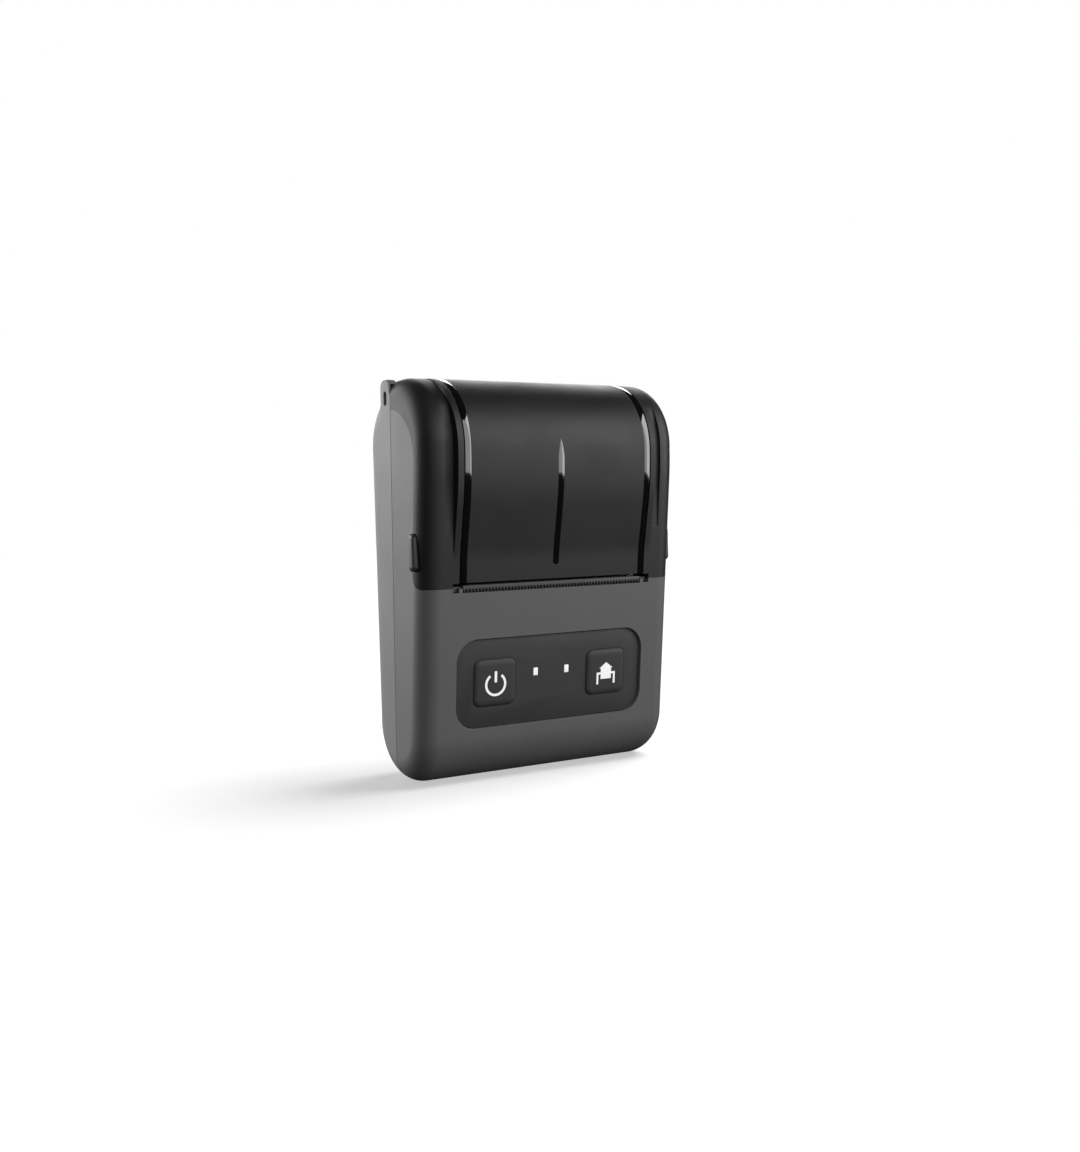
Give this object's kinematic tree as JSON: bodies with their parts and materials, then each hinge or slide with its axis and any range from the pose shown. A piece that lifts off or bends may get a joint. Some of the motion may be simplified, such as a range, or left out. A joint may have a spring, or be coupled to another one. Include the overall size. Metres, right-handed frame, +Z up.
{
  "type": "portable receipt printer",
  "caption": "Pocket-sized thermal receipt printer with a hinged paper lid, a serrated tear edge, two front keys, side release buttons and a wrist-strap ear.",
  "frame": {"origin": "middle of the bounding box in X and Y, at the lowest point of the foot in Z", "axes": "+X to the right seen from the keys, -Y out of the face with the keys, +Z up from the foot to the lid's hinge"},
  "size_m": [0.0878, 0.0436, 0.116],
  "materials": {
    "housing_grey": "fine matte grain",
    "cover_black": "satin, fine grain",
    "strip_gloss": "polished",
    "key_dark": "soft matte",
    "steel": "drawn or stamped",
    "aluminium": "milled",
    "ceramic": "glazed",
    "roller_rubber": "ground",
    "gear_white": "moulded",
    "brass": "machined",
    "board_green": "solder mask",
    "part_black": "moulded",
    "film_amber": "film",
    "pack_blue": "shrink sleeve",
    "lamp_clear": "clear moulded"
  },
  "bodies": {
    "base": {"rear_shell": "housing_grey", "front_shell": "housing_grey", "top_cover": "cover_black", "case_screws": "steel", "hinge_pin": "steel", "tear_bar": "housing_grey", "mech_frame": "steel", "mech_screws": "steel", "head_pin": "steel", "head_springs": "steel", "head_flex": "film_amber", "motor": "steel", "paper_sensor": "part_black", "button_spring_left": "steel", "button_spring_right": "steel", "key_panel": "key_dark", "light_guides": "lamp_clear", "key_board": "board_green", "key_switches": "steel", "lamps": "lamp_clear", "main_board": "board_green", "board_screws": "steel", "chips": "part_black", "radio_module": "steel", "connectors": "gear_white", "usb_socket": "steel", "battery_pack": "pack_blue", "battery_contacts": "brass", "key_flex": "film_amber"},
    "lid": {"lid": "cover_black", "lid_liner": "cover_black", "lid_strip_left": "strip_gloss", "lid_strip_right": "strip_gloss", "lid_strip_centre": "strip_gloss", "platen_bushes": "brass"},
    "platen": {"platen_shaft": "steel", "platen_rubber": "roller_rubber", "platen_gear": "gear_white"},
    "idler": {"idler_gear": "gear_white"},
    "pinion": {"motor_pinion": "brass"},
    "head": {"print_head": "aluminium", "heater_strip": "ceramic"},
    "button_left": {"button_left": "key_dark"},
    "button_right": {"button_right": "key_dark"},
    "lifter_left": {"lifter_left": "steel"},
    "lifter_right": {"lifter_right": "steel"},
    "power_key": {"power_key": "key_dark"},
    "feed_key": {"feed_key": "key_dark"},
    "door": {"battery_door": "housing_grey"}
  },
  "joints": [
    {"name": "lid_hinge", "type": "hinge", "parent": "base", "child": "lid", "pos_m": [0, 0.01197, 0.1062], "axis": [-1, 0, 0], "range_deg": [0, 100]},
    {"name": "platen_spin", "type": "hinge", "parent": "lid", "child": "platen", "pos_m": [0, -0.00943, 0.06185], "axis": [1, 0, 0], "continuous": true},
    {"name": "idler_spin", "type": "hinge", "parent": "base", "child": "idler", "pos_m": [0.0298, -0.00269, 0.0538], "axis": [1, 0, 0], "continuous": true},
    {"name": "pinion_spin", "type": "hinge", "parent": "base", "child": "pinion", "pos_m": [0.0298, -0.00293, 0.0453], "axis": [1, 0, 0], "continuous": true},
    {"name": "head_tilt", "type": "hinge", "parent": "base", "child": "head", "pos_m": [0, 0.00007, 0.0538], "axis": [1, 0, 0], "range_deg": [0, 2.5], "stiffness_Nm_per_rad": 0.05, "springref_deg": -5.73, "deforming": ["head_springs", "head_flex"]},
    {"name": "button_left_push", "type": "slide", "parent": "base", "child": "button_left", "axis": [1, 0, 0], "range_m": [0, 0.001], "stiffness_N_per_m": 300, "springref_m": -0.002},
    {"name": "lifter_left_swing", "type": "hinge", "parent": "base", "child": "lifter_left", "pos_m": [-0.035, -0.00693, 0.0695], "axis": [0, 0, -1], "range_deg": [0, 12.7]},
    {"name": "button_right_push", "type": "slide", "parent": "base", "child": "button_right", "axis": [-1, 0, 0], "range_m": [0, 0.001], "stiffness_N_per_m": 300, "springref_m": -0.002},
    {"name": "lifter_right_swing", "type": "hinge", "parent": "base", "child": "lifter_right", "pos_m": [0.035, -0.00693, 0.0695], "axis": [0, 0, 1], "range_deg": [0, 12.7]},
    {"name": "power_key_press", "type": "slide", "parent": "base", "child": "power_key", "axis": [0, 0.9942, 0.108], "range_m": [0, 0.0007], "stiffness_N_per_m": 800, "springref_m": -0.0006},
    {"name": "feed_key_press", "type": "slide", "parent": "base", "child": "feed_key", "axis": [0, 0.9942, 0.108], "range_m": [0, 0.0007], "stiffness_N_per_m": 800, "springref_m": -0.0006},
    {"name": "door_hinge", "type": "hinge", "parent": "base", "child": "door", "pos_m": [0, 0.02097, 0.0192], "axis": [-1, 0, 0], "range_deg": [0, 75]}
  ],
  "couplings": [
    {"joint": "idler_spin", "follows": "platen_spin", "ratio": -0.90909},
    {"joint": "pinion_spin", "follows": "platen_spin", "ratio": 1.6667},
    {"joint": "lifter_left_swing", "follows": "button_left_push", "rad_per_m": 220},
    {"joint": "lifter_right_swing", "follows": "button_right_push", "rad_per_m": 220}
  ]
}
